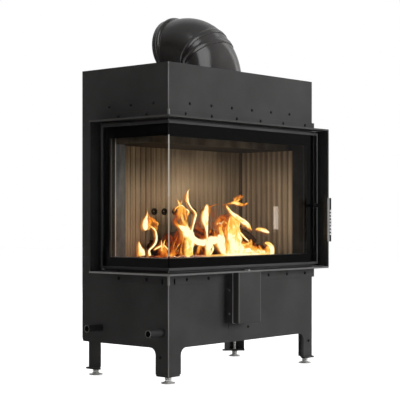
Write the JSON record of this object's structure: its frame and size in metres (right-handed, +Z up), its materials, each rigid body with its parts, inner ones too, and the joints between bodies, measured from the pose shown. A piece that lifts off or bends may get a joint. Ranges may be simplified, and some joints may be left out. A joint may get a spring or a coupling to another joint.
{
  "type": "built-in corner fireplace",
  "caption": "Built-in corner fireplace of dark painted sheet steel: L-shaped glass door with turning handle, projecting trim, air box, levelling feet and swept flue elbow.",
  "frame": {"origin": "middle of the footprint's bounding box, on the floor", "axes": "+X along the front to its right end as seen from the front, +Y from the front to the back, +Z up"},
  "size_m": [0.893, 0.5418, 1.2965],
  "materials": {
    "casing_paint": "satin dark grey stove paint",
    "trim_paint": "satin dark grey stove paint, slightly glossier",
    "door_paint": "satin dark grey stove paint",
    "flue_enamel": "gloss dark grey enamel",
    "foot_zinc": "bright zinc plated steel",
    "socket_steel": "satin painted steel tube",
    "bare_steel": "satin steel",
    "dark_steel": "blackened steel",
    "handle_steel": "bead blasted stainless steel",
    "chamber_steel": "heat darkened steel plate",
    "lining": "cast fireclay with a ribbed face",
    "glass": "clear fire glass with a black enamelled edge",
    "seal_rope": "knitted glass fibre rope"
  },
  "bodies": {
    "casing": {"base_shell": "casing_paint", "hood_shell": "casing_paint", "front_post": "casing_paint", "left_post": "casing_paint", "right_panel": "casing_paint", "back_panel": "casing_paint", "base_floor": "casing_paint", "hood_lid": "casing_paint", "flange_top": "casing_paint", "flange_bottom": "casing_paint", "leg_front_left": "casing_paint", "leg_front_right": "casing_paint", "leg_rear_left": "casing_paint", "leg_rear_right": "casing_paint", "air_box_tray": "casing_paint", "air_box_cover": "casing_paint", "air_spigot": "casing_paint", "carry_socket_front": "socket_steel", "carry_socket_rear": "socket_steel", "trim_top": "trim_paint", "trim_bottom": "trim_paint", "trim_right": "trim_paint", "trim_rear": "trim_paint", "hinge_top": "bare_steel", "hinge_bottom": "bare_steel", "hinge_washer": "bare_steel", "latch_keeper": "bare_steel", "chamber_floor": "chamber_steel", "chamber_ceiling": "chamber_steel", "chamber_back": "chamber_steel", "chamber_right": "chamber_steel", "rear_pillar": "chamber_steel", "air_duct": "chamber_steel", "log_guard": "chamber_steel", "air_wash_channel": "chamber_steel", "flue_spigot": "chamber_steel", "lining_back": "lining", "lining_right": "lining", "hearth_slab": "lining", "ceiling_baffle": "lining"},
    "door": {"door_rail_top": "door_paint", "door_rail_bottom": "door_paint", "door_stile_right": "door_paint", "door_stile_rear": "door_paint", "glass_front": "glass", "glass_side": "glass", "door_seal": "seal_rope", "handle_bush": "dark_steel"},
    "handle": {"handle_grip": "handle_steel", "latch_shaft": "dark_steel"},
    "air_lever": {"air_lever": "dark_steel"},
    "air_flap": {"air_flap": "bare_steel"},
    "flue_elbow": {"elbow_foot_segment": "flue_enamel", "elbow_middle_segment": "flue_enamel", "elbow_outlet_segment": "flue_enamel"},
    "foot_front_left": {"foot_front_left": "foot_zinc"},
    "foot_front_right": {"foot_front_right": "foot_zinc"},
    "foot_rear_left": {"foot_rear_left": "foot_zinc"},
    "foot_rear_right": {"foot_rear_right": "foot_zinc"}
  },
  "joints": [
    {"name": "door_swing", "type": "hinge", "parent": "casing", "child": "door", "pos_m": [-0.3915, 0.11085, 0.62], "axis": [0, 0, -1], "range_deg": [0, 90]},
    {"name": "handle_turn", "type": "hinge", "parent": "door", "child": "handle", "pos_m": [0.4145, -0.22415, 0.597], "axis": [0, 1, 0], "range_deg": [0, 60]},
    {"name": "air_lever_swing", "type": "hinge", "parent": "casing", "child": "air_lever", "pos_m": [0.0945, -0.21715, 0.368], "axis": [0, 0, 1], "range_deg": [0, 36]},
    {"name": "air_flap_tilt", "type": "hinge", "parent": "casing", "child": "air_flap", "pos_m": [-0.023, -0.19165, 0.302], "axis": [-1, 0, 0], "range_deg": [0, 30]},
    {"name": "elbow_swivel", "type": "hinge", "parent": "casing", "child": "flue_elbow", "pos_m": [0.0205, -0.03315, 1], "axis": [0, 0, 1], "continuous": true},
    {"name": "foot_front_left_screw", "type": "slide", "parent": "casing", "child": "foot_front_left", "axis": [0, 0, -1], "range_m": [0, 0.02]},
    {"name": "foot_front_right_screw", "type": "slide", "parent": "casing", "child": "foot_front_right", "axis": [0, 0, -1], "range_m": [0, 0.02]},
    {"name": "foot_rear_left_screw", "type": "slide", "parent": "casing", "child": "foot_rear_left", "axis": [0, 0, -1], "range_m": [0, 0.02]},
    {"name": "foot_rear_right_screw", "type": "slide", "parent": "casing", "child": "foot_rear_right", "axis": [0, 0, -1], "range_m": [0, 0.02]}
  ],
  "couplings": [
    {"joint": "air_flap_tilt", "follows": "air_lever_swing", "ratio": 0.8}
  ]
}
